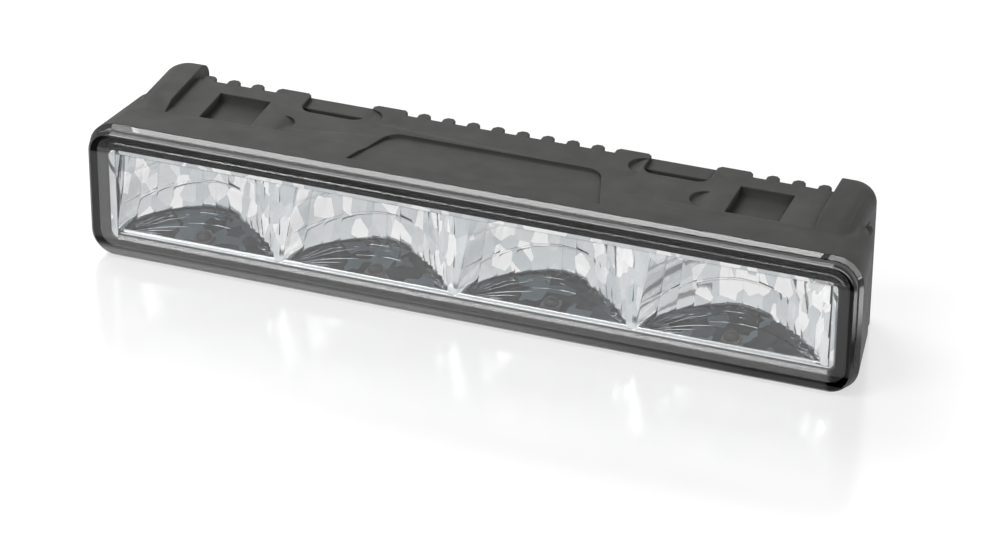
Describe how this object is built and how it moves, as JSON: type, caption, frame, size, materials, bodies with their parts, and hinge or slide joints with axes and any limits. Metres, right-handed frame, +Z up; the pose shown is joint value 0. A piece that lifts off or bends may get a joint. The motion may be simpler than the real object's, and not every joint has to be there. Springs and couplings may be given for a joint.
{
  "type": "daytime running light",
  "caption": "Slim rectangular LED daytime running light: dark finned housing with clip pockets and rails, bevelled clear cover and a row of faceted reflector cells behind a black mask.",
  "frame": {"origin": "under the middle of the lamp, on the plane of the underside it stands on", "axes": "+X along the lamp to the right as seen from the front, +Y from the clear cover to the fins, +Z up"},
  "size_m": [0.1528, 0.032, 0.0289],
  "materials": {
    "coated_casting": "die-cast, matte dark grey coat",
    "clear_cover": "clear moulded polycarbonate",
    "seal_rubber": "black sealing bead",
    "black_mask": "gloss black moulding",
    "metallised_reflector": "vacuum metallised",
    "pad_silicone": "soft gap filler",
    "led_board_mask": "metal core board, black solder mask",
    "screw_steel": "zinc plated",
    "driver_board_laminate": "glass laminate, green solder mask",
    "flex_film": "polyimide film",
    "component_black": "moulded epoxy",
    "capacitor_resin": "moulded resin",
    "socket_nylon": "natural nylon",
    "grommet_rubber": "moulded rubber",
    "vent_plastic": "moulded plastic",
    "led_package": "grey ceramic with pale phosphor",
    "led_silicone": "clear silicone"
  },
  "bodies": {
    "root": {"housing": "coated_casting", "front_lens": "clear_cover", "lens_seal": "seal_rubber", "mask": "black_mask", "reflector": "metallised_reflector", "thermal_pad": "pad_silicone", "led_board": "led_board_mask", "led_board_screws": "screw_steel", "driver_board": "driver_board_laminate", "driver_screws": "screw_steel", "flex_jumper": "flex_film", "inductor": "component_black", "capacitor_1": "capacitor_resin", "capacitor_2": "capacitor_resin", "driver_ic": "component_black", "diode": "component_black", "transistor": "component_black", "input_socket": "socket_nylon", "cable_grommet": "grommet_rubber", "vent_plug": "vent_plastic", "led_1": "led_package", "led_2": "led_package", "led_3": "led_package", "led_4": "led_package", "led_dome_1": "led_silicone", "led_dome_2": "led_silicone", "led_dome_3": "led_silicone", "led_dome_4": "led_silicone"}
  },
  "joints": []
}
